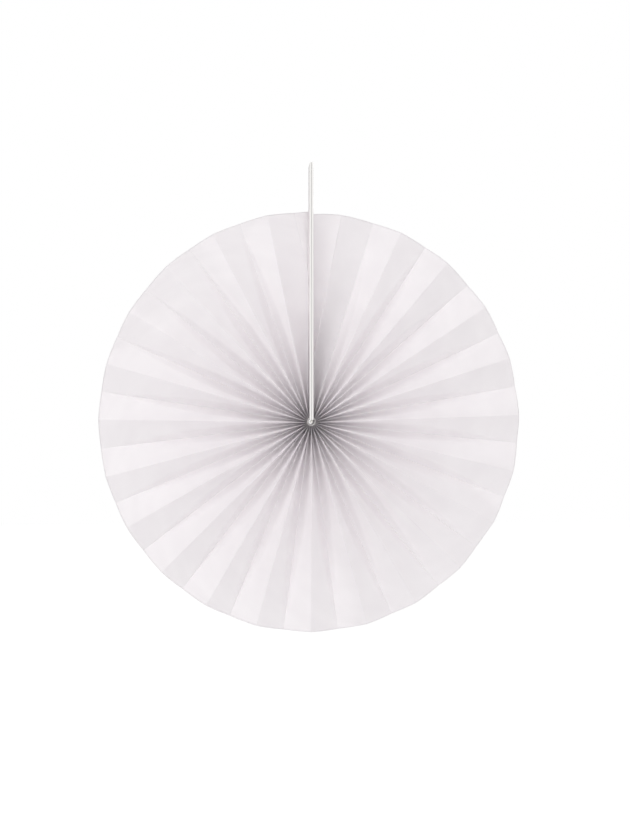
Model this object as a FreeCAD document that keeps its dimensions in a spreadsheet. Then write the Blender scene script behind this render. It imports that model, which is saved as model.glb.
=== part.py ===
import FreeCAD, Part
import math
import os
import Sketcher

# Paper fan rosette: one long sheet of paper folded into pleats, opened into a full
# circle round a knotted thread, and held open by two card strips that are stuck
# face to face at twelve o'clock. The strips run on past the rim as a hanging tab.
#
# Frame: X to the right, Y away from the viewer, Z up, in millimetres. Every piece is
# drawn about the hub axis, which lies along Y, and is then moved down, so that the
# origin is the middle of the hanging hole in the tab.
# Angles are measured at the hub, clockwise from twelve o'clock as the viewer sees it.

# Driving dimensions, in millimetres and degrees, each with what it measures.
SIZES = [
    ("fan_radius", 150.0, "hub axis to the cut rim of the paper"),
    ("ridge_count", 23, "folds that stand forward"),
    ("panel_width", 21.0, "one panel of the sheet, and one card strip, front to back"),
    ("rim_depth", 6.0, "height of the flattened pleats at the rim"),
    ("flattening_power", 1.55, "how late along the radius the pleats flatten"),
    ("paper_thickness", 0.12, "the sheet"),
    ("hub_gap", 0.04, "air between neighbouring panels at their inner ends"),
    ("side_lean", 1.6, "how far the side pleats have sagged, in degrees"),
    ("foot_lean", 0.4, "how far the lowest pleats have sagged, in degrees"),
    ("first_pleat_extra", 0.95, "wider first pleat, in degrees"),
    ("pinch_radius", 46.0, "first ridge lies against its card strip up to here"),
    ("pinch_gap", 0.3, "first ridge to the end panel, where it lies against it"),
    ("peel_radius", 107.0, "last panel comes off its card strip from here to the rim"),
    ("peel_angle", 4.5, "last fold to the card strips at the rim, in degrees"),
    ("peel_line_depth", 1.0, "where the peeled panel leaves the card at the rim"),
    ("peel_drop", 2.0, "last fold behind the other valleys at the rim"),
    ("drop_folds", 4, "folds over which the ends run back to the usual depth"),
    ("crease_start", 12.0, "radius where the soft slanting creases begin"),
    ("crease_bulge", 0.6, "how far a panel bulges forward along its slanting crease"),
    ("card_thickness", 1.2, "one card strip"),
    ("card_corner_radius", 1.0, "rounding of the tab's two outer corners"),
    ("tab_length", 33.0, "card strips beyond the rim"),
    ("hole_setback", 10.0, "hanging hole to the tab's end"),
    ("hole_diameter", 5.0, "hanging hole"),
    ("tape_thickness", 0.2, "double-sided tape between the card strips"),
    ("tape_width", 12.0, "tape, front to back"),
    ("tape_hub_margin", 12.0, "tape's inner end to the card strips' inner ends"),
    ("tape_hole_margin", 5.0, "tape's outer end to the edge of the hanging hole"),
    ("thread_diameter", 1.0, "cotton thread through the pleats"),
    ("thread_clearance", 0.1, "punched holes round the thread, all the way round"),
    ("punch_edge", 0.2, "punched holes to the inner ends of the panels"),
    ("thread_setback", 1.6, "thread behind the front edges of the pleats"),
]

# Sizes that follow from the driving ones, written as the sheet's own expressions.
HALF_STACK = "(Sizes.card_thickness + Sizes.tape_thickness / 2)"
STACK_FACE = f"({HALF_STACK} + Sizes.paper_thickness)"
PANEL_PITCH = "(Sizes.paper_thickness + Sizes.hub_gap)"
PACKED_RADIUS = f"(Sizes.ridge_count * 2 * {PANEL_PITCH} / (2 * pi))"
HUB_RADIUS = f"sqrt({PACKED_RADIUS} ^ 2 + {STACK_FACE} ^ 2)"
PUNCH_RADIUS = "(Sizes.thread_diameter / 2 + Sizes.thread_clearance)"
RING_RADIUS = f"({HUB_RADIUS} + Sizes.punch_edge + {PUNCH_RADIUS})"
RING_Y = "-(Sizes.panel_width / 2 - Sizes.thread_setback)"
TAB_END = "(Sizes.fan_radius + Sizes.tab_length)"
HOLE_HEIGHT = f"({TAB_END} - Sizes.hole_setback)"
SLOT_TOP = f"({RING_RADIUS} + {PUNCH_RADIUS})"
SLOT_BOTTOM = f"sqrt(({RING_RADIUS} - {PUNCH_RADIUS}) ^ 2 - {HALF_STACK} ^ 2)"

# Sides of the sections that stand for round ones on the smallest pieces.
PUNCH_SIDES = 8
THREAD_SIDES = 12


def make_sheet(doc):
    """The driving dimensions, one named cell each."""
    sheet = doc.addObject("Spreadsheet::Sheet", "Sizes")
    for row, (name, value, note) in enumerate(SIZES, start=1):
        sheet.set(f"A{row}", name)
        sheet.set(f"B{row}", str(value))
        sheet.set(f"C{row}", note)
        sheet.setAlias(f"B{row}", name)
    doc.recompute()
    return sheet


def hang(piece, label):
    """Name a finished piece and lower it from the hub axis to the hanging hole."""
    piece.Label = label
    piece.setExpression("Placement.Base.z", f"-{HOLE_HEIGHT}")
    return piece


# The pleated sheet. A cross-section is taken at a set of radii, each one bent round
# the hub's circle and laid flat: s is the length along that circle, clockwise from
# twelve o'clock, and d is the depth, positive towards the viewer.

def fold_plan(sheet):
    """Inner and outer angle of each fold, in radians, from the right card to the left."""
    last = 2 * int(sheet.ridge_count)
    middle = half_stack(sheet) + sheet.paper_thickness / 2
    hub_start = math.asin(middle / hub_radius(sheet))
    rim_start = math.asin(middle / sheet.fan_radius)
    rim_end = 2 * math.pi - math.radians(sheet.peel_angle)
    folds = []
    for number in range(last + 1):
        share = number / last
        hub_angle = hub_start + (2 * math.pi - 2 * hub_start) * share
        rim_angle = rim_start + (rim_end - rim_start) * share
        if 0 < number < last:
            lean = sheet.side_lean * math.sin(rim_angle)
            lean += sheet.foot_lean * (1 - math.cos(rim_angle))
            if number > 1:
                lean += sheet.first_pleat_extra
            rim_angle += math.radians(lean)
        folds.append((hub_angle, rim_angle))
    return folds


def half_stack(sheet):
    """Middle of the tape to a card strip's outer face."""
    return sheet.card_thickness + sheet.tape_thickness / 2


def hub_radius(sheet):
    """Radius at which the inner ends of the panels just stand side by side."""
    pitch = sheet.paper_thickness + sheet.hub_gap
    packed = 2 * sheet.ridge_count * pitch / (2 * math.pi)
    return math.hypot(packed, half_stack(sheet) + sheet.paper_thickness)


def plan_point(radius, angle):
    """A point seen from the front: right of the hub, above the hub."""
    return radius * math.sin(angle), radius * math.cos(angle)


def straight_fold_angle(inner, outer, radius):
    """Angle at a radius of a fold that runs straight between two plan points."""
    heading = math.atan2(outer[0] - inner[0], outer[1] - inner[1])
    offset = inner[0] * math.cos(heading) - inner[1] * math.sin(heading)
    return heading + math.asin(offset / radius)


def fold_angle(sheet, folds, number, radius):
    """Angle of one fold at a radius, with the pinched first ridge and both ends."""
    middle = half_stack(sheet) + sheet.paper_thickness / 2
    hub_angle, rim_angle = folds[number]
    inner = plan_point(hub_radius(sheet), hub_angle)
    outer = plan_point(sheet.fan_radius, rim_angle)
    last = len(folds) - 1
    if number == 0:
        return math.asin(middle / radius)
    if number == 1:
        beside_card = half_stack(sheet) + sheet.paper_thickness + sheet.pinch_gap
        pinch = plan_point(sheet.pinch_radius, math.asin(beside_card / sheet.pinch_radius))
        if radius <= sheet.pinch_radius:
            return straight_fold_angle(inner, pinch, radius)
        return straight_fold_angle(pinch, outer, radius)
    if number == last:
        if radius <= sheet.peel_radius:
            return 2 * math.pi - math.asin(middle / radius)
        peel = plan_point(sheet.peel_radius, -math.asin(middle / sheet.peel_radius))
        return straight_fold_angle(peel, outer, radius) + 2 * math.pi
    return straight_fold_angle(inner, outer, radius) % (2 * math.pi)


def opening(sheet, radius):
    """How far the fan has opened at a radius: 0 at the hub, 1 at the rim."""
    return (radius - hub_radius(sheet)) / (sheet.fan_radius - hub_radius(sheet))


def peeled(sheet, radius):
    """How far the last panel has come off its card: 0 up to the peel, 1 at the rim."""
    return max(0.0, (radius - sheet.peel_radius) / (sheet.fan_radius - sheet.peel_radius))


def fold_depth(sheet, last, number, radius):
    """Depth of one fold at a radius. Ridges have odd numbers, valleys even ones."""
    half_width = sheet.panel_width / 2
    half_rim = sheet.rim_depth / 2
    if number == last:
        rim_end = -(half_rim + sheet.peel_drop)
        return -half_width + peeled(sheet, radius) * (rim_end + half_width)
    flattened = opening(sheet, radius) ** sheet.flattening_power
    height = half_width + (half_rim - half_width) * flattened
    right_drop = (half_width - half_rim) * max(0.0, 1 - number / sheet.drop_folds)
    left_drop = sheet.peel_drop * max(0.0, 1 - (last - number) / sheet.drop_folds)
    side = 1 if number % 2 else -1
    return side * height - (right_drop + left_drop) * flattened


def shifted(start, end, gap):
    """The line from start to end, moved by gap towards the sheet's front face."""
    along = (end[0] - start[0], end[1] - start[1])
    length = math.hypot(along[0], along[1])
    normal = (-along[1] / length * gap, along[0] / length * gap)
    return (start[0] + normal[0], start[1] + normal[1]), along


def crossing(first, second):
    """The point where two lines meet, each given as a point and a direction."""
    (start, along), (other, across) = first, second
    turn = along[0] * across[1] - along[1] * across[0]
    reach = ((other[0] - start[0]) * across[1] - (other[1] - start[1]) * across[0]) / turn
    return start[0] + reach * along[0], start[1] + reach * along[1]


def crease_point(sheet, ridge, valley, radius):
    """Middle of a panel's soft crease, which slants from ridge to valley outwards."""
    share = opening(sheet, radius)
    bulge = sheet.crease_bulge * 4 * share * (1 - share)
    across = (valley[0] - ridge[0], valley[1] - ridge[1])
    clockwise = across if across[0] > 0 else (-across[0], -across[1])
    normal = front_normal(((0.0, 0.0), clockwise))
    return (
        ridge[0] + share * across[0] + bulge * normal[0],
        ridge[1] + share * across[1] + bulge * normal[1],
    )


def sheet_middle(sheet, folds, radius):
    """The sheet's middle line at a radius: its folds, creases and end points.

    Returns the folds and, for each panel between two of them, its crease or None.
    """
    last = len(folds) - 1
    points = []
    for number in range(last + 1):
        angle = fold_angle(sheet, folds, number, radius)
        points.append((radius * angle, fold_depth(sheet, last, number, radius)))
    creases = []
    for number in range(last):
        ends = (points[number], points[number + 1])
        ridge, valley = ends if number % 2 else ends[::-1]
        inside = sheet.crease_start < radius < sheet.fan_radius and number > 0
        creases.append(crease_point(sheet, ridge, valley, radius) if inside else None)
    return points, creases


def face_row(sheet, folds, radius, face):
    """One face of the sheet at a radius: face is 1 for the front and -1 for the back.

    Each strip is a list of three points, from its first fold over its crease to its
    second fold. A fold that is sharp on this face has one point, and a fold that is
    blunt on it has two, one for each panel.
    """
    half = face * sheet.paper_thickness / 2
    last = len(folds) - 1
    points, creases = sheet_middle(sheet, folds, radius)
    glued_x = half_stack(sheet) + (sheet.paper_thickness if face == 1 else 0.0)
    glued_right = radius * math.asin(glued_x / radius)
    glued_left = radius * (2 * math.pi - math.asin(glued_x / radius))
    front_end = sheet.panel_width / 2
    right_card = ((glued_right, front_end), (0.0, -1.0))
    left_card = ((glued_left, front_end), (0.0, 1.0))
    free = peeled(sheet, radius) > 0
    leave_depth = -sheet.panel_width / 2
    leave_depth += peeled(sheet, radius) * (sheet.panel_width / 2 - sheet.peel_line_depth)
    middle = half_stack(sheet) + sheet.paper_thickness / 2
    leave = (radius * (2 * math.pi - math.asin(middle / radius)), leave_depth)

    lines_in = [right_card]
    lines_out = []
    for number in range(last):
        crease = creases[number] or points[number + 1]
        lines_out.append(shifted(points[number], crease, half))
        crease = creases[number] or points[number]
        lines_in.append(shifted(crease, points[number + 1], half))
    lines_out.append(shifted(points[last], leave, half) if free else left_card)

    corners = []
    for number, (before, after) in enumerate(zip(lines_in, lines_out)):
        ridge = number % 2 == 1
        if ridge != (face == 1):
            corner = crossing(before, after)
            corners.append((corner, corner))
            continue
        tip = points[number]
        left = (tip[0] + front_normal(before)[0] * half, tip[1] + front_normal(before)[1] * half)
        right = (tip[0] + front_normal(after)[0] * half, tip[1] + front_normal(after)[1] * half)
        if number == 0:
            left = (glued_right, tip[1])
        if number == last and not free:
            right = (glued_left, tip[1])
        corners.append((left, right))

    strips = [[(glued_right, front_end), corners[0][0], corners[0][0]]]
    for number in range(last):
        start = corners[number][1]
        end = corners[number + 1][0]
        if creases[number]:
            before = shifted(points[number], creases[number], half)
            after = shifted(creases[number], points[number + 1], half)
            middle_point = bent_offset(creases[number], before, after, half)
        elif radius >= sheet.fan_radius:
            middle_point = start if number % 2 == 0 else end
        else:
            middle_point = end if number % 2 == 0 else start
        strips.append([start, middle_point, end])
    peel_point = crossing(lines_out[last], left_card) if free else corners[last][1]
    strips.append([corners[last][1], peel_point, (glued_left, front_end)])
    return strips


def front_normal(line):
    """Unit normal of a line, on the side of the sheet's front face."""
    along = line[1]
    length = math.hypot(along[0], along[1])
    return -along[1] / length, along[0] / length


def bent_offset(point, before, after, half):
    """A point of a soft crease, moved off the middle line between its two sides."""
    first = front_normal(before)
    second = front_normal(after)
    total = (first[0] + second[0], first[1] + second[1])
    length = math.hypot(total[0], total[1])
    return point[0] + total[0] / length * half, point[1] + total[1] / length * half


def section_radii(sheet):
    """Radii of the cross-sections: closer together near the hub, where panels twist.

    Up to the pinched first ridge each is about twice the one before.
    """
    growth = sheet.pinch_radius / hub_radius(sheet)
    steps = round(math.log2(growth))
    radii = [hub_radius(sheet) * growth ** (step / steps) for step in range(steps)]
    radii.append(sheet.pinch_radius)
    radii.append((sheet.pinch_radius + sheet.peel_radius) / 2)
    radii.append(sheet.peel_radius)
    radii.append((sheet.peel_radius + sheet.fan_radius) / 2)
    radii.append(sheet.fan_radius)
    return radii


class Facets:
    """Corner points and triangles of a closed surface, each point kept once."""

    def __init__(self):
        self.points = []
        self.triangles = []
        self.known = {}

    def corner(self, radius, spot):
        """Index of a point of a cross-section, bent back round the hub axis."""
        key = (radius, spot)
        if key not in self.known:
            angle = spot[0] / radius
            across, up = plan_point(radius, angle)
            self.known[key] = len(self.points)
            self.points.append(FreeCAD.Vector(across, -spot[1], up))
        return self.known[key]

    def polygon(self, corners, turn):
        """A fan of triangles from the first corner, without those that have lost a side.

        Seen from outside they run counter-clockwise, if turn is -1 after a reversal.
        """
        for second, third in zip(corners[1:], corners[2:]):
            triangle = (corners[0], second, third)
            if len(set(triangle)) == len(triangle):
                self.triangles.append(triangle[::turn])


def join_sections(facets, inner, outer, face):
    """One face of the sheet between two cross-sections.

    Both faces of a panel are split along the same line, from its ridge at the inner
    section to its valley at the outer one, so that they stay one thickness apart.
    """
    for place, (near, far) in enumerate(zip(inner, outer)):
        ridge_first = place % 2 == 0
        for one, two in ((0, 1), (1, 2)):
            quad = [near[one], far[one], far[two], near[two]]
            facets.polygon(quad if ridge_first else quad[-1:] + quad[:-1], face)
    for place in range(len(inner) - 1):
        near, far = inner[place][2], outer[place][2]
        after, beyond = inner[place + 1][0], outer[place + 1][0]
        facets.polygon([near, far, beyond, after], face)


def close_ends(facets, inner, outer):
    """The sheet's two cut ends between two cross-sections."""
    for end, spot, turn in ((0, 0, 1), (-1, 2, -1)):
        near = [inner[face][end][spot] for face in (1, -1)]
        far = [outer[face][end][spot] for face in (-1, 1)]
        facets.polygon(near + far, turn)


def close_edge(facets, row, turn):
    """The sheet's long cut edge at the hub, or at the rim if turn is -1."""
    for front, back in zip(row[1], row[-1]):
        for one, two in ((0, 1), (1, 2)):
            facets.polygon([front[one], front[two], back[two], back[one]], turn)
    for place in range(len(row[1]) - 1):
        front, back = row[1][place][2], row[-1][place][2]
        after, behind = row[1][place + 1][0], row[-1][place + 1][0]
        facets.polygon([front, after, behind, back], turn)


def folded_sheet(sheet):
    """The whole pleated sheet as one closed solid of flat facets."""
    folds = fold_plan(sheet)
    facets = Facets()
    rows = []
    for radius in section_radii(sheet):
        row = {}
        for face in (1, -1):
            strips = face_row(sheet, folds, radius, face)
            row[face] = [[facets.corner(radius, spot) for spot in strip] for strip in strips]
        rows.append(row)

    for inner, outer in zip(rows, rows[1:]):
        for face in (1, -1):
            join_sections(facets, inner[face], outer[face], face)
        close_ends(facets, inner, outer)
    close_edge(facets, rows[0], 1)
    close_edge(facets, rows[-1], -1)

    skin = Part.Shape()
    skin.makeShapeFromMesh((facets.points, facets.triangles), 0.001)
    solid = Part.Solid(Part.Shell(skin.Faces))
    if solid.Volume < 0:
        solid.reverse()
    return solid


def add_ring(doc, name, sides, corner_radius):
    """A ring round the hub axis, where the thread lies, with a many-sided section."""
    section = doc.addObject("Part::RegularPolygon", f"{name}Section")
    section.Polygon = sides
    section.setExpression("Circumradius", corner_radius)
    section.setExpression("Placement.Base.x", RING_RADIUS)
    section.setExpression("Placement.Base.y", RING_Y)
    ring = doc.addObject("Part::Revolution", name)
    ring.Source = section
    ring.Axis = FreeCAD.Vector(0, 1, 0)
    ring.Angle = 360
    ring.Solid = True
    return ring


def make_pleated_paper(doc, sheet):
    """One sheet of paper, folded, with the punched holes that the thread runs through."""
    folded = doc.addObject("Part::Feature", "FoldedSheet")
    folded.Shape = folded_sheet(sheet)
    holes = add_ring(doc, "PunchedHoles", PUNCH_SIDES, f"{PUNCH_RADIUS} / cos(180 / {PUNCH_SIDES})")
    paper = doc.addObject("Part::Cut", "PleatedPaper")
    paper.Base = folded
    paper.Tool = holes
    return hang(paper, "pleated_paper")


def make_binding_thread(doc):
    """Cotton thread drawn through every panel near the front and tied into a ring."""
    thread = add_ring(doc, "BindingThread", THREAD_SIDES, "Sizes.thread_diameter / 2")
    return hang(thread, "binding_thread")


def plane_of(body, role):
    """One of a body's own origin planes."""
    return next(item for item in body.Origin.OriginFeatures if item.Role == role)


def add_sketch(body, name):
    """A sketch on the body's YZ plane: its first axis is Y and its second is Z."""
    sketch = body.newObject("Sketcher::SketchObject", name)
    sketch.AttachmentSupport = (plane_of(body, "YZ_Plane"), "")
    sketch.MapMode = "FlatFace"
    return sketch


def add_size(sketch, kind, places, name, expression):
    """A driving constraint tied to the sheet."""
    index = sketch.addConstraint(Sketcher.Constraint(kind, *places, 1.0))
    sketch.renameConstraint(index, name)
    sketch.setExpression(f"Constraints.{name}", expression)


def add_rectangle(sketch, half_width, bottom, top, width):
    """A rectangle symmetrical about the Z axis. Its constraints take it to its size."""
    left = -half_width
    corners = [(left, bottom), (half_width, bottom), (half_width, top), (left, top)]
    for start, end in zip(corners, corners[1:] + corners[:1]):
        line = Part.LineSegment(FreeCAD.Vector(*start, 0), FreeCAD.Vector(*end, 0))
        sketch.addGeometry(line, False)
    for side in range(4):
        sketch.addConstraint(Sketcher.Constraint("Coincident", side, 2, (side + 1) % 4, 1))
    sketch.addConstraint(Sketcher.Constraint("Vertical", 1))
    sketch.addConstraint(Sketcher.Constraint("Symmetric", 0, 1, 0, 2, -2))
    sketch.addConstraint(Sketcher.Constraint("Symmetric", 2, 1, 2, 2, -2))
    add_size(sketch, "DistanceX", (0, 1, 0, 2), "Width", width)


def make_card_strip(doc, sheet, name, label, left_face):
    """A strip of white card, with a hanging hole in its tab and a slot for the thread."""
    body = doc.addObject("PartDesign::Body", name)
    outline = add_sketch(body, f"{name}Outline")
    outer_end = sheet.fan_radius + sheet.tab_length
    add_rectangle(outline, sheet.panel_width / 2, hub_radius(sheet), outer_end, "Sizes.panel_width")
    add_size(outline, "DistanceY", (-1, 1, 0, 1), "InnerEnd", PACKED_RADIUS)
    add_size(outline, "DistanceY", (-1, 1, 2, 1), "OuterEnd", TAB_END)
    hanging_place = outer_end - sheet.hole_setback
    hanging = outline.addGeometry(circle_at(0, hanging_place, sheet.hole_diameter / 2), False)
    outline.addConstraint(Sketcher.Constraint("PointOnObject", hanging, 3, -2))
    add_size(outline, "DistanceY", (-1, 1, hanging, 3), "HoleHeight", HOLE_HEIGHT)
    add_size(outline, "Diameter", (hanging,), "HoleSize", "Sizes.hole_diameter")
    strip = body.newObject("PartDesign::Pad", f"{name}Strip")
    strip.Profile = outline
    strip.setExpression("Length", "Sizes.card_thickness")
    doc.recompute()

    punched = add_sketch(body, f"{name}ThreadHole")
    thread_place = sheet.thread_setback - sheet.panel_width / 2
    hole_place = circle_at(thread_place, hub_radius(sheet), sheet.thread_diameter / 2)
    hole = punched.addGeometry(hole_place, False)
    add_size(punched, "DistanceX", (hole, 3, -1, 1), "FromMiddle", f"-{RING_Y}")
    add_size(punched, "DistanceY", (-1, 1, hole, 3), "FromHub", f"({SLOT_TOP} + {SLOT_BOTTOM}) / 2")
    add_size(punched, "Diameter", (hole,), "HoleSize", f"{SLOT_TOP} - {SLOT_BOTTOM}")
    pocket = body.newObject("PartDesign::Pocket", f"{name}ThreadPocket")
    pocket.Profile = punched
    pocket.Reversed = True
    pocket.setExpression("Length", "Sizes.card_thickness")
    doc.recompute()

    corners = body.newObject("PartDesign::Fillet", f"{name}Corners")
    corners.Base = (pocket, tab_corner_edges(pocket))
    corners.setExpression("Radius", "Sizes.card_corner_radius")
    body.Tip = corners
    body.setExpression("Placement.Base.x", left_face)
    return hang(body, label)


def circle_at(across, up, radius):
    """A circle in a sketch's own plane, to be taken to its size by constraints."""
    return Part.Circle(FreeCAD.Vector(across, up, 0), FreeCAD.Vector(0, 0, 1), radius)


def tab_corner_edges(feature):
    """Names of the two edges that run through the card at the tab's outer corners."""
    top = feature.Shape.BoundBox.ZMax
    names = []
    for number, edge in enumerate(feature.Shape.Edges, start=1):
        box = edge.BoundBox
        if box.ZMin > top - 0.001 and box.XLength > box.YLength:
            names.append(f"Edge{number}")
    return names


def make_joining_tape(doc):
    """Double-sided tape that sticks the card strips together, narrower than they are."""
    tape = doc.addObject("Part::Box", "JoiningTape")
    start = f"({PACKED_RADIUS} + Sizes.tape_hub_margin)"
    end = f"({HOLE_HEIGHT} - Sizes.hole_diameter / 2 - Sizes.tape_hole_margin)"
    tape.setExpression("Length", "Sizes.tape_thickness")
    tape.setExpression("Width", "Sizes.tape_width")
    tape.setExpression("Height", f"{end} - {start}")
    tape.setExpression("Placement.Base.x", "-Sizes.tape_thickness / 2")
    tape.setExpression("Placement.Base.y", "-Sizes.tape_width / 2")
    tape.Label = "joining_tape"
    tape.setExpression("Placement.Base.z", f"{start} - {HOLE_HEIGHT}")
    return tape


def check_objects(doc, pieces):
    """Stop before anything is written if a feature failed or a piece isn't a sound solid."""
    for item in doc.Objects:
        if {"Invalid", "Error"} & set(item.State):
            raise RuntimeError(f"{item.Label} failed: {item.State}")
    for piece in pieces:
        shape = piece.Shape
        if shape.isNull() or not shape.isValid() or len(shape.Solids) != 1:
            raise RuntimeError(f"{piece.Label} is not one valid solid")


doc = FreeCAD.newDocument("PaperFan")
sheet = make_sheet(doc)
pieces = [
    make_pleated_paper(doc, sheet),
    make_card_strip(doc, sheet, "LeftCard", "card_strip_left", f"-{HALF_STACK}"),
    make_card_strip(doc, sheet, "RightCard", "card_strip_right", "Sizes.tape_thickness / 2"),
    make_joining_tape(doc),
    make_binding_thread(doc),
]
doc.recompute()
check_objects(doc, pieces)
os.makedirs("parts", exist_ok=True)
for piece in pieces:
    piece.Shape.exportStep(f"parts/{piece.Label}.step")
    print(piece.Label, round(piece.Shape.Volume, 2), piece.Shape.BoundBox)
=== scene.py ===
import math
import random

import bpy
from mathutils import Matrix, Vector


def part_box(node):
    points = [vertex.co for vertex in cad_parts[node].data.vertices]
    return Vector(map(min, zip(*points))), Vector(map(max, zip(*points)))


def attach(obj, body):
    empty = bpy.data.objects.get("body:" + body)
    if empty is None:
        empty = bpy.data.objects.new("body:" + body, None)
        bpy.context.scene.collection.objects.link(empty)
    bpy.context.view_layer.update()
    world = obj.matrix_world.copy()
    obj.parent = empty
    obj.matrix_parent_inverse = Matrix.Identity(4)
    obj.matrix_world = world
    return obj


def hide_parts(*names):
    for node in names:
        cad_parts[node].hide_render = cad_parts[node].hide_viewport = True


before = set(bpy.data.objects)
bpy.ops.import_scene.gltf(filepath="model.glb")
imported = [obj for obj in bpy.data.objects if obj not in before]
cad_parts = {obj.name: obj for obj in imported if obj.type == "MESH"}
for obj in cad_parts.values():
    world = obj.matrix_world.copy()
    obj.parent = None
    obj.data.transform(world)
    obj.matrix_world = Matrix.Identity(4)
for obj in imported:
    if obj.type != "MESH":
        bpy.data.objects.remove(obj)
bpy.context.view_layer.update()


# The pleated paper: one long sheet of white uncoated paper, folded by hand and opened
# into a circle, its end panels glued to the card strips. Each panel twists from upright
# at the hub to almost flat at the rim, and gives way in a soft slanting crease.

MM = 0.001
thread_low, thread_high = (Vector(corner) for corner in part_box("binding_thread"))
paper_low = Vector(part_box("pleated_paper")[0])
card_low, card_high = (Vector(corner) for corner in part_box("card_strip_right"))

hub_height = (thread_low.z + thread_high.z) / 2
fan_radius = hub_height - paper_low.z
panel_width = card_high.y - card_low.y
half_stack = card_high.x
thread_thickness = thread_high.y - thread_low.y
thread_depth = -(thread_low.y + thread_high.y) / 2
thread_ring_radius = (thread_high.x - thread_low.x) / 2 - thread_thickness / 2
punch_clearance = 0.2 * MM
punch_edge = 0.2 * MM
punched_hole = thread_thickness + punch_clearance
hub_radius = thread_ring_radius - punched_hole / 2 - punch_edge

ridges = 23
folds = 2 * ridges
paper_thickness = 0.12 * MM
rim_depth = 4.8 * MM
flattening_power = 1.55
side_lean = 1.6
foot_lean = 0.4
first_pleat_extra = 0.95
pinch_radius = 46.0 * MM
pinch_gap = 0.3 * MM
peel_radius = 107.0 * MM
peel_angle = 4.5
peel_line_depth = 1.0 * MM
peel_drop = 2.0 * MM
drop_folds = 4
crease_softness = 2.2 * MM
softest_crease = 0.8
hub_crease = 0.02
crease_halvings = 18
paper_middle = half_stack + paper_thickness / 2

# How unlike each other the hand-made panels are: lengths in millimetres, leans in degrees.
lean_error = 0.35
rim_error = 0.35
spare_range = (0.5, 0.75)
spare_fading = 4
crease_end_range = (0.88, 1.02)
waves_per_panel = 3
wave_size_range = (0.06, 0.2)
wave_turns_range = (30, 75)
wave_slant = 3
curl_error = 0.5
curl_length = 14 * MM

hand = random.Random(23)


def plan_point(radius, angle):
    """A point right of the hub and above it, for an angle clockwise from the top."""
    return Vector((radius * math.sin(angle), radius * math.cos(angle)))


def lay_out_folds():
    """The plan of every fold: where it starts at the hub and ends at the rim."""
    hub_start = math.asin(paper_middle / hub_radius)
    rim_start = math.asin(paper_middle / fan_radius)
    rim_end = 2 * math.pi - math.radians(peel_angle)
    plan = []
    for number in range(folds + 1):
        share = number / folds
        hub_angle = hub_start + (2 * math.pi - 2 * hub_start) * share
        rim_angle = rim_start + (rim_end - rim_start) * share
        if 0 < number < folds:
            lean = side_lean * math.sin(rim_angle) + foot_lean * (1 - math.cos(rim_angle))
            if number > 1:
                lean += first_pleat_extra + hand.uniform(-lean_error, lean_error)
            rim_angle += math.radians(lean)
        plan.append((hub_angle, rim_angle))
    return plan


fold_plan = lay_out_folds()
rim_unevenness = [hand.uniform(-rim_error, rim_error) * MM for number in range(folds + 1)]
panel_spare = [hand.uniform(*spare_range) for number in range(folds)]
crease_end = [hand.uniform(*crease_end_range) for number in range(folds)]


def draw_wave():
    """Size, turns, slant and start of one small wave of a panel."""
    return (hand.uniform(*wave_size_range) * MM, hand.uniform(*wave_turns_range),
            hand.uniform(-wave_slant, wave_slant), hand.uniform(0, 2 * math.pi))


panel_waves = [[draw_wave() for wave in range(waves_per_panel)] for number in range(folds)]
rim_curl = [hand.uniform(-curl_error, curl_error) * MM for number in range(folds)]


def opening(radius):
    """How far the fan has opened at a radius: 0 at the hub, 1 at the rim."""
    return (radius - hub_radius) / (fan_radius - hub_radius)


def peeled(radius):
    """How far the last panel has come off its card: 0 up to the peel, 1 at the rim."""
    return max(0.0, (radius - peel_radius) / (fan_radius - peel_radius))


def straight_fold_angle(inner, outer, radius):
    """Angle at a radius of a fold that runs straight between two plan points."""
    heading = math.atan2(outer.x - inner.x, outer.y - inner.y)
    offset = inner.x * math.cos(heading) - inner.y * math.sin(heading)
    return heading + math.asin(offset / radius)


def fold_angle(number, radius):
    """Angle of a fold: the first ridge lies against its card, the last fold peels off."""
    hub_angle, rim_angle = fold_plan[number]
    inner = plan_point(hub_radius, hub_angle)
    outer = plan_point(fan_radius, rim_angle)
    if number == 0:
        return math.asin(paper_middle / radius)
    if number == 1:
        beside_card = half_stack + paper_thickness + pinch_gap
        pinch = plan_point(pinch_radius, math.asin(beside_card / pinch_radius))
        if radius <= pinch_radius:
            return straight_fold_angle(inner, pinch, radius)
        return straight_fold_angle(pinch, outer, radius)
    if number == folds:
        if radius <= peel_radius:
            return 2 * math.pi - math.asin(paper_middle / radius)
        peel = plan_point(peel_radius, -math.asin(paper_middle / peel_radius))
        return straight_fold_angle(peel, outer, radius) + 2 * math.pi
    return straight_fold_angle(inner, outer, radius) % (2 * math.pi)


def fold_depth(number, radius):
    """Depth of a fold towards the viewer. Odd folds are ridges, even ones valleys."""
    half_width = panel_width / 2
    half_rim = rim_depth / 2
    if number == folds:
        return -half_width + peeled(radius) * (half_width - half_rim - peel_drop)
    flattened = opening(radius) ** flattening_power
    height = half_width + (half_rim - half_width) * flattened
    right_drop = (half_width - half_rim) * max(0.0, 1 - number / drop_folds)
    left_drop = peel_drop * max(0.0, 1 - (folds - number) / drop_folds)
    side = 1 if number % 2 else -1
    uneven = rim_unevenness[number] if number else 0.0
    return side * height + (uneven - right_drop - left_drop) * flattened


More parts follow.
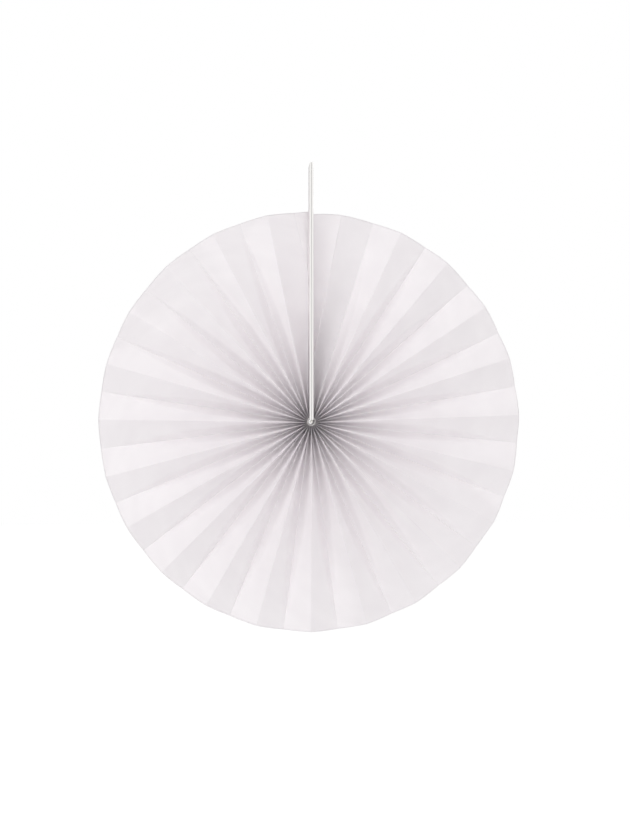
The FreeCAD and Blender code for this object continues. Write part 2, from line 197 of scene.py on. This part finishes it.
def crease_spot(number, radius, ridge, valley):
    """Where a panel is creased. The paper can't shrink, so part of what the straight way
    from ridge to valley doesn't need stands forward, and by the ridge it lies flatter."""
    share = min(1 - hub_crease, max(hub_crease, opening(radius) / crease_end[number]))
    foot = ridge.lerp(valley, share)
    low, high = 0.0, ridge.y - foot.y
    for halving in range(crease_halvings):
        lift = (low + high) / 2
        crease = foot + Vector((0, lift))
        if (crease - ridge).length + (valley - crease).length < panel_width:
            low = lift
        else:
            high = lift
    spare = panel_spare[number] * (1 - opening(radius) ** spare_fading)
    return foot + Vector((0, low * spare))


def along_panel(ridge, crease, valley, reach):
    """The spot at a length from the ridge along a panel whose crease is rounded off."""
    first = (crease - ridge).length
    second = (valley - crease).length
    soft = softest_crease * min(first, second, crease_softness)
    if reach <= first - soft:
        return ridge.lerp(crease, reach / first)
    if reach >= first + soft:
        return crease.lerp(valley, (reach - first) / second)
    share = (reach - first + soft) / (2 * soft)
    near = crease.lerp(ridge, soft / first)
    far = crease.lerp(valley, soft / second)
    return near.lerp(crease, share).lerp(crease.lerp(far, share), share)


def small_waves(number, radius, from_ridge):
    """How far a panel stands forward by its small waves, and by the curl of its rim."""
    across = math.sin(math.pi * from_ridge)
    open_here = opening(radius)
    forward = 0.0
    for size, turns, slant, start in panel_waves[number]:
        wave = math.sin(turns * radius + slant * from_ridge + start)
        forward += size * open_here * across * wave
    curl = max(0.0, 1 - (fan_radius - radius) / curl_length) ** 2
    return forward + rim_curl[number] * curl * across


# Places across a panel, as shares of the part between ridge and crease and of the part
# between crease and valley: close together where the paper bends, and with one place
# on each side of the punched hole.
hole_from_ridge = (panel_width / 2 - thread_depth) / panel_width
hole_share = punched_hole / 2 / panel_width
hole_edges = [(hole_from_ridge + side * hole_share - hub_crease) / (1 - hub_crease)
              for side in (-1, 1)]
ridge_places = [0.0, 0.03, 0.25, 0.5, 0.72, 0.88, 0.96, 1.0]
valley_places = [*hole_edges, 0.2, 0.36, 0.52, 0.68, 0.83, 0.94, 0.985, 1.0]
hole_cell = len(ridge_places)
cells = len(ridge_places) + len(valley_places) - 1
end_places = [hub_crease * place for place in ridge_places]
end_places += [hub_crease + (1 - hub_crease) * place for place in valley_places]


def panel_line(number, radius, start, end):
    """One panel's middle line, as spots from its first fold to its second."""
    rising = number % 2 == 0
    ridge, valley = (end, start) if rising else (start, end)
    if number:
        crease = crease_spot(number, radius, ridge, valley)
    else:
        crease = ridge.lerp(valley, hub_crease)
    first = (crease - ridge).length
    second = (valley - crease).length
    reaches = [first * place for place in ridge_places]
    reaches += [first + second * place for place in valley_places]
    along = (end - start).normalized()
    front = Vector((-along.y, along.x))
    spots = []
    for reach in reaches:
        forward = small_waves(number, radius, reach / (first + second)) if number else 0.0
        spots.append(along_panel(ridge, crease, valley, reach) + front * forward)
    return spots[::-1] if rising else spots


twisted_radius = 18 * MM
row_growth = 1.22
even_rows = 28
rim_row = 1.0 * MM


def section_radii():
    """Radii of the rows: close together at the hub, where the panels twist most."""
    radii = [hub_radius, thread_ring_radius - punched_hole / 2,
             thread_ring_radius + punched_hole / 2]
    while radii[-1] < twisted_radius:
        radii.append(radii[-1] * row_growth)
    start = radii[-1]
    for step in range(1, even_rows + 1):
        radii.append(start + (fan_radius - start) * step / even_rows)
    radii.insert(-1, fan_radius - rim_row)
    return radii


def section(radius):
    """The sheet's middle line at a radius: length round the circle and depth, from the
    front edge on the right card to the front edge on the left one."""
    half_width = panel_width / 2
    folded = [Vector((radius * fold_angle(number, radius), fold_depth(number, radius)))
              for number in range(folds + 1)]
    glued = radius * math.asin(paper_middle / radius)
    line = [Vector((glued, half_width - place * panel_width)) for place in end_places]
    for number in range(folds):
        line += panel_line(number, radius, folded[number], folded[number + 1])[1:]
    edge = Vector((radius * 2 * math.pi - glued, half_width))
    leave = Vector((edge.x, -half_width + peeled(radius) * (half_width - peel_line_depth)))
    flap = (leave - folded[folds]).length
    whole = flap + (edge - leave).length
    for place in reversed(end_places[:-1]):
        reach = (1 - place) * whole
        if reach < flap:
            line.append(folded[folds].lerp(leave, reach / flap))
        else:
            line.append(leave.lerp(edge, (reach - flap) / (whole - flap)))
    return line


def thickened(line):
    """Front and back face of a section, each half a thickness from the middle line."""
    fronts, backs = [], []
    for place, here in enumerate(line):
        before = line[max(place - 1, 0)]
        after = line[min(place + 1, len(line) - 1)]
        into = (here - before).normalized() if place else (after - here).normalized()
        out = (after - here).normalized() if place < len(line) - 1 else into
        normal = Vector((-into.y - out.y, into.x + out.x)).normalized()
        fronts.append(here + normal * paper_thickness / 2)
        backs.append(here - normal * paper_thickness / 2)
    return fronts, backs


def add_piece(name, corners, faces, material, smooth=True):
    """A mesh with its material, as an object in the scene."""
    mesh = bpy.data.meshes.new(name)
    mesh.from_pydata(corners, [], faces)
    mesh.polygons.foreach_set("use_smooth", [smooth] * len(mesh.polygons))
    mesh.materials.append(material)
    mesh.update()
    piece = bpy.data.objects.new(name, mesh)
    bpy.context.scene.collection.objects.link(piece)
    return piece


def fold_paper(material):
    """The sheet as a closed mesh, with its place on the flat sheet kept as a UV map."""
    radii = section_radii()
    corners, grids = [], []
    for radius in radii:
        faces = []
        for side in thickened(section(radius)):
            faces.append(range(len(corners), len(corners) + len(side)))
            for spot in side:
                angle = spot.x / radius
                corners.append((radius * math.sin(angle), -spot.y,
                                hub_height + radius * math.cos(angle)))
        grids.append(faces)
    width = len(grids[0][0])
    quads = []

    def is_hole(row, column):
        panel, cell = divmod(column, cells)
        from_ridge = cell if panel % 2 == 0 else cells - 1 - cell
        return row == 1 and from_ridge == hole_cell

    for row in range(len(radii) - 1):
        inner, outer = grids[row], grids[row + 1]
        for column in range(width - 1):
            ring = [(row, column), (row + 1, column), (row + 1, column + 1), (row, column + 1)]
            if is_hole(row, column):
                for one, two in zip(ring, ring[1:] + ring[:1]):
                    quads.append([grids[one[0]][0][one[1]], grids[one[0]][1][one[1]],
                                  grids[two[0]][1][two[1]], grids[two[0]][0][two[1]]])
                continue
            quads.append([grids[at][0][place] for at, place in reversed(ring)])
            quads.append([grids[at][1][place] for at, place in ring])
        for column in (0, width - 1):
            edge = [inner[0][column], outer[0][column], outer[1][column], inner[1][column]]
            quads.append(edge if column == 0 else edge[::-1])
    for row in (0, len(radii) - 1):
        front, back = grids[row]
        for column in range(width - 1):
            cap = [front[column], front[column + 1], back[column + 1], back[column]]
            quads.append(cap if row == 0 else cap[::-1])

    sheet = add_piece("folded_paper", corners, quads, material)
    flat = sheet.data.uv_layers.new(name="flat_sheet")
    place_of = {}
    for row, radius in enumerate(radii):
        line = section(radius)
        lengths = [0.0]
        for before, after in zip(line, line[1:]):
            lengths.append(lengths[-1] + (after - before).length)
        for face in (0, 1):
            for column, corner in enumerate(grids[row][face]):
                place_of[corner] = (lengths[column], radius)
    for loop in sheet.data.loops:
        flat.data[loop.index].uv = place_of[loop.vertex_index]
    return sheet


def new_material(name, roughness, specular=0.5):
    """A material with its nodes, its links and its shader."""
    material = bpy.data.materials.new(name)
    material.use_nodes = True
    nodes = material.node_tree.nodes
    shader = nodes["Principled BSDF"]
    shader.inputs["Roughness"].default_value = roughness
    shader.inputs["Specular IOR Level"].default_value = specular
    return material, nodes, material.node_tree.links, shader


def add_noise(nodes, links, coordinates, scale, detail, stretch=(1, 1, 1)):
    """Cloudy variation at a scale per metre, stretched along the sheet if asked."""
    mapping = nodes.new("ShaderNodeMapping")
    mapping.inputs["Scale"].default_value = stretch
    links.new(coordinates, mapping.inputs["Vector"])
    noise = nodes.new("ShaderNodeTexNoise")
    noise.inputs["Scale"].default_value = scale
    noise.inputs["Detail"].default_value = detail
    links.new(mapping.outputs["Vector"], noise.inputs["Vector"])
    return noise.outputs["Fac"]


tint_start = 0.3
tint_end = 0.7


def tint(nodes, links, amount, low, high):
    """A colour between two shades, by an amount from 0 to 1."""
    ramp = nodes.new("ShaderNodeValToRGB")
    ramp.color_ramp.elements[0].position = tint_start
    ramp.color_ramp.elements[0].color = (*low, 1)
    ramp.color_ramp.elements[1].position = tint_end
    ramp.color_ramp.elements[1].color = (*high, 1)
    links.new(amount, ramp.inputs["Fac"])
    return ramp.outputs["Color"]


def raise_surface(nodes, links, height, distance, strength, under=None):
    """A bump of a given height in metres, over another one."""
    bump = nodes.new("ShaderNodeBump")
    bump.inputs["Distance"].default_value = distance
    bump.inputs["Strength"].default_value = strength
    links.new(height, bump.inputs["Height"])
    if under is not None:
        links.new(under, bump.inputs["Normal"])
    return bump.outputs["Normal"]


def let_light_through(nodes, links, shader, colour, share):
    """Let a share of the light come out on the far side of a thin or cloudy material."""
    through = nodes.new("ShaderNodeBsdfTranslucent")
    links.new(colour, through.inputs["Color"])
    both = nodes.new("ShaderNodeMixShader")
    both.inputs["Fac"].default_value = share
    links.new(shader.outputs["BSDF"], both.inputs[1])
    links.new(through.outputs["BSDF"], both.inputs[2])
    links.new(both.outputs["Shader"], nodes["Material Output"].inputs["Surface"])


def white_paper():
    """Uncoated white paper: faintly mottled, with short fibres and streaks from folding,
    and thin enough for light to come through."""
    material, nodes, links, shader = new_material("white_paper", roughness=0.85, specular=0.25)
    sheet = nodes.new("ShaderNodeUVMap")
    sheet.uv_map = "flat_sheet"
    place = sheet.outputs["UV"]
    clouds = add_noise(nodes, links, place, scale=60, detail=4)
    shade = tint(nodes, links, clouds, low=(0.928, 0.910, 0.920), high=(0.948, 0.932, 0.940))
    links.new(shade, shader.inputs["Base Color"])
    let_light_through(nodes, links, shader, shade, share=0.75)
    streaks = add_noise(nodes, links, place, scale=220, detail=3, stretch=(1, 0.12, 1))
    crinkle = raise_surface(nodes, links, streaks, distance=0.06 * MM, strength=0.5)
    fibres = add_noise(nodes, links, place, scale=2600, detail=3)
    grain = raise_surface(nodes, links, fibres, distance=0.012 * MM, strength=0.5, under=crinkle)
    links.new(grain, shader.inputs["Normal"])
    return material


paper = fold_paper(white_paper())
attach(paper, "root")
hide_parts("pleated_paper")


# The two card strips: stiff white board, cut in one stroke, so that the cut edges show
# the board's warm core, painted lighter than the faces as a highlight where the edges
# catch the light. They lie face to face and carry the sheet's two end panels.

def white_board():
    """Coated white board, its cut edges a warmer layered core with a painted highlight."""
    material, nodes, links, shader = new_material("white_board", roughness=0.6, specular=0.35)
    place = nodes.new("ShaderNodeTexCoord").outputs["Object"]
    clouds = add_noise(nodes, links, place, scale=90, detail=4)
    face = tint(nodes, links, clouds, low=(0.93, 0.91, 0.905), high=(0.95, 0.935, 0.93))
    plies = add_noise(nodes, links, place, scale=400, detail=2, stretch=(6, 0.2, 0.2))
    # The cut edges: the board core's warmer tone, and painted highlight that makes them lighter
    # than the faces.
    core_and_highlight = tint(nodes, links, plies, low=(0.98, 0.97, 0.945), high=(1.0, 0.99, 0.97))
    shape = nodes.new("ShaderNodeNewGeometry")
    direction = nodes.new("ShaderNodeSeparateXYZ")
    links.new(shape.outputs["True Normal"], direction.inputs["Vector"])
    flatness = nodes.new("ShaderNodeMath")
    flatness.operation = "ABSOLUTE"
    links.new(direction.outputs["X"], flatness.inputs[0])
    blend = nodes.new("ShaderNodeMix")
    blend.data_type = "RGBA"
    links.new(flatness.outputs["Value"], blend.inputs["Factor"])
    links.new(core_and_highlight, blend.inputs["A"])
    links.new(face, blend.inputs["B"])
    links.new(blend.outputs["Result"], shader.inputs["Base Color"])
    fibres = add_noise(nodes, links, place, scale=1800, detail=3)
    grain = raise_surface(nodes, links, fibres, distance=0.02 * MM, strength=0.4)
    links.new(grain, shader.inputs["Normal"])
    return material


def dress(node, material):
    """Put a material into the slots of a CAD node."""
    for slot in bpy.data.objects[node].material_slots:
        slot.material = material


board = white_board()
dress("card_strip_left", board)
dress("card_strip_right", board)


# The joining tape: a strip of double-sided tape between the card strips, a pale film
# with adhesive on both faces. Only its thin edges can be seen, between the cards.

def adhesive_film():
    """Pale film, clouded by its adhesive."""
    material, nodes, links, shader = new_material("adhesive_film", roughness=0.35)
    place = nodes.new("ShaderNodeTexCoord").outputs["Object"]
    clouds = add_noise(nodes, links, place, scale=500, detail=3)
    shade = tint(nodes, links, clouds, low=(0.78, 0.75, 0.70), high=(0.86, 0.84, 0.80))
    links.new(shade, shader.inputs["Base Color"])
    blotches = raise_surface(nodes, links, clouds, distance=0.02 * MM, strength=0.3)
    links.new(blotches, shader.inputs["Normal"])
    return material


dress("joining_tape", adhesive_film())


# The binding thread: white cotton, three strands twisted together, drawn through the
# punched holes near the front and tied with a knot that sits in the open hub.

strands = 3
strand_radius = thread_thickness * 0.27
strand_sides = 10
twist_radius = thread_thickness / 2 - strand_radius
twist_turns = 17
ring_steps = 360
knot_radius = hub_radius * 0.5
knot_thread_radius = thread_thickness * 0.36
knot_sides = 12
knot_steps = 96
knot_loops = 3
knot_middle = 0.72
knot_swing = 0.36
knot_depth = 0.45
knot_turn = 0.5


def sweep(path, radius, sides, corners, quads):
    """A closed tube along a closed path, added to lists of corners and quads."""
    start = len(corners)
    count = len(path)
    for place, here in enumerate(path):
        along = (path[(place + 1) % count] - path[place - 1]).normalized()
        first = along.cross(Vector((0, 1, 0.01))).normalized()
        second = along.cross(first)
        for side in range(sides):
            turn = 2 * math.pi * side / sides
            corners.append(here + (first * math.cos(turn) + second * math.sin(turn)) * radius)
    for place in range(count):
        following = (place + 1) % count
        for side in range(sides):
            beside = (side + 1) % sides
            quads.append([start + place * sides + side, start + place * sides + beside,
                          start + following * sides + beside, start + following * sides + side])


def ring_path(strand):
    """One strand of the ring, winding round the circle that the thread follows."""
    path = []
    for step in range(ring_steps):
        around = 2 * math.pi * step / ring_steps
        twist = twist_turns * around + 2 * math.pi * strand / strands
        radius = thread_ring_radius + twist_radius * math.cos(twist)
        depth = thread_depth + twist_radius * math.sin(twist)
        path.append(Vector((radius * math.sin(around), -depth,
                            hub_height + radius * math.cos(around))))
    return path


def knot_path():
    """An overhand knot, drawn tight, with a small eye in the middle."""
    path = []
    for step in range(knot_steps):
        around = 2 * math.pi * step / knot_steps
        radius = knot_radius * (knot_middle + knot_swing * math.cos(knot_loops * around))
        depth = thread_depth + knot_radius * knot_depth * math.sin(knot_loops * around)
        angle = 2 * around + knot_turn
        path.append(Vector((radius * math.sin(angle), -depth,
                            hub_height + radius * math.cos(angle))))
    return path


def twist_thread(material):
    """The ring of twisted strands with its knot, as one mesh."""
    corners, quads = [], []
    for strand in range(strands):
        sweep(ring_path(strand), strand_radius, strand_sides, corners, quads)
    sweep(knot_path(), knot_thread_radius, knot_sides, corners, quads)
    return add_piece("cotton_thread", corners, quads, material)


def cotton():
    """Off-white cotton with fine fibres."""
    material, nodes, links, shader = new_material("cotton", roughness=0.9)
    shader.inputs["Sheen Weight"].default_value = 0.2
    place = nodes.new("ShaderNodeTexCoord").outputs["Object"]
    lint = add_noise(nodes, links, place, scale=3000, detail=4)
    shade = tint(nodes, links, lint, low=(0.90, 0.88, 0.83), high=(0.97, 0.96, 0.92))
    links.new(shade, shader.inputs["Base Color"])
    fuzz = raise_surface(nodes, links, lint, distance=0.05 * MM, strength=0.6)
    links.new(fuzz, shader.inputs["Normal"])
    return material


thread = twist_thread(cotton())
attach(thread, "root")
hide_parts("binding_thread")


# The studio: a pale floor well below the hanging fan, white behind it, soft light from
# the upper left and front, and a level camera a little to the fan's left.

floor_drop = 0.3
floor_size = 8.0


def seen_directly(nodes, links):
    """1 for what the camera sees, directly, in a gloss or through glass."""
    rays = nodes.new("ShaderNodeLightPath")
    total = rays.outputs["Is Camera Ray"]
    for name in ("Is Glossy Ray", "Is Transmission Ray"):
        add = nodes.new("ShaderNodeMath")
        add.operation = "MAXIMUM"
        links.new(total, add.inputs[0])
        links.new(rays.outputs[name], add.inputs[1])
        total = add.outputs["Value"]
    return total


def pale_floor():
    """Matt white, and seen as white where no shadow falls."""
    material, nodes, links, shader = new_material("pale_floor", roughness=0.9)
    shader.inputs["Base Color"].default_value = (0.8, 0.8, 0.8, 1)
    shader.inputs["Emission Color"].default_value = (0.6, 0.6, 0.6, 1)
    links.new(seen_directly(nodes, links), shader.inputs["Emission Strength"])
    return material


half_floor = floor_size / 2
floor_height = paper_low.z - floor_drop
floor_corners = [(x * half_floor, y * half_floor, floor_height)
                 for x, y in ((-1, -1), (1, -1), (1, 1), (-1, 1))]
floor = add_piece("floor", floor_corners, [(0, 1, 2, 3)], pale_floor(), smooth=False)

world = bpy.data.worlds.new("studio")
bpy.context.scene.world = world
world.use_nodes = True
air, wires = world.node_tree.nodes, world.node_tree.links
ambient = air["Background"]
ambient.inputs["Color"].default_value = (1.0, 0.99, 0.99, 1)
ambient.inputs["Strength"].default_value = 0.48
backdrop = air.new("ShaderNodeBackground")
backdrop.inputs["Color"].default_value = (1, 1, 1, 1)
backdrop.inputs["Strength"].default_value = 1.0
choice = air.new("ShaderNodeMixShader")
wires.new(seen_directly(air, wires), choice.inputs["Fac"])
wires.new(ambient.outputs["Background"], choice.inputs[1])
wires.new(backdrop.outputs["Background"], choice.inputs[2])
wires.new(choice.outputs["Shader"], air["World Output"].inputs["Surface"])

hub = Vector((0, 0, hub_height))


def add_soft_light(name, place, size, power):
    """A square area light that faces the hub."""
    light = bpy.data.lights.new(name, "AREA")
    light.size = size
    light.energy = power
    lamp = bpy.data.objects.new(name, light)
    lamp.location = hub + Vector(place)
    lamp.rotation_euler = (hub - lamp.location).to_track_quat("-Z", "Y").to_euler()
    bpy.context.scene.collection.objects.link(lamp)


add_soft_light("window", place=(-1.2, -1.3, 1.4), size=1.0, power=14)
add_soft_light("front", place=(-0.15, -1.3, 0.25), size=0.4, power=3.5)

camera_yaw = math.radians(3.0)
camera_distance = 0.785
frame_height = 840
frame_width = 630
scale_at_hub = 1400.7
rim_centre_x = 310.8
rim_centre_y = 421.5

camera_data = bpy.data.cameras.new("camera")
camera_data.sensor_fit = "VERTICAL"
camera_data.sensor_height = 24.0
camera_data.lens = camera_data.sensor_height * camera_distance * scale_at_hub / frame_height
camera = bpy.data.objects.new("camera", camera_data)
right = Vector((math.cos(camera_yaw), -math.sin(camera_yaw), 0))
ahead = Vector((math.sin(camera_yaw), math.cos(camera_yaw), 0))
aim = hub + right * (frame_width / 2 - rim_centre_x) / scale_at_hub
aim.z += (rim_centre_y - frame_height / 2) / scale_at_hub
camera.location = aim - ahead * camera_distance
camera.rotation_euler = ahead.to_track_quat("-Z", "Y").to_euler()
bpy.context.scene.collection.objects.link(camera)
bpy.context.scene.camera = camera
bpy.context.scene.view_settings.view_transform = "Standard"
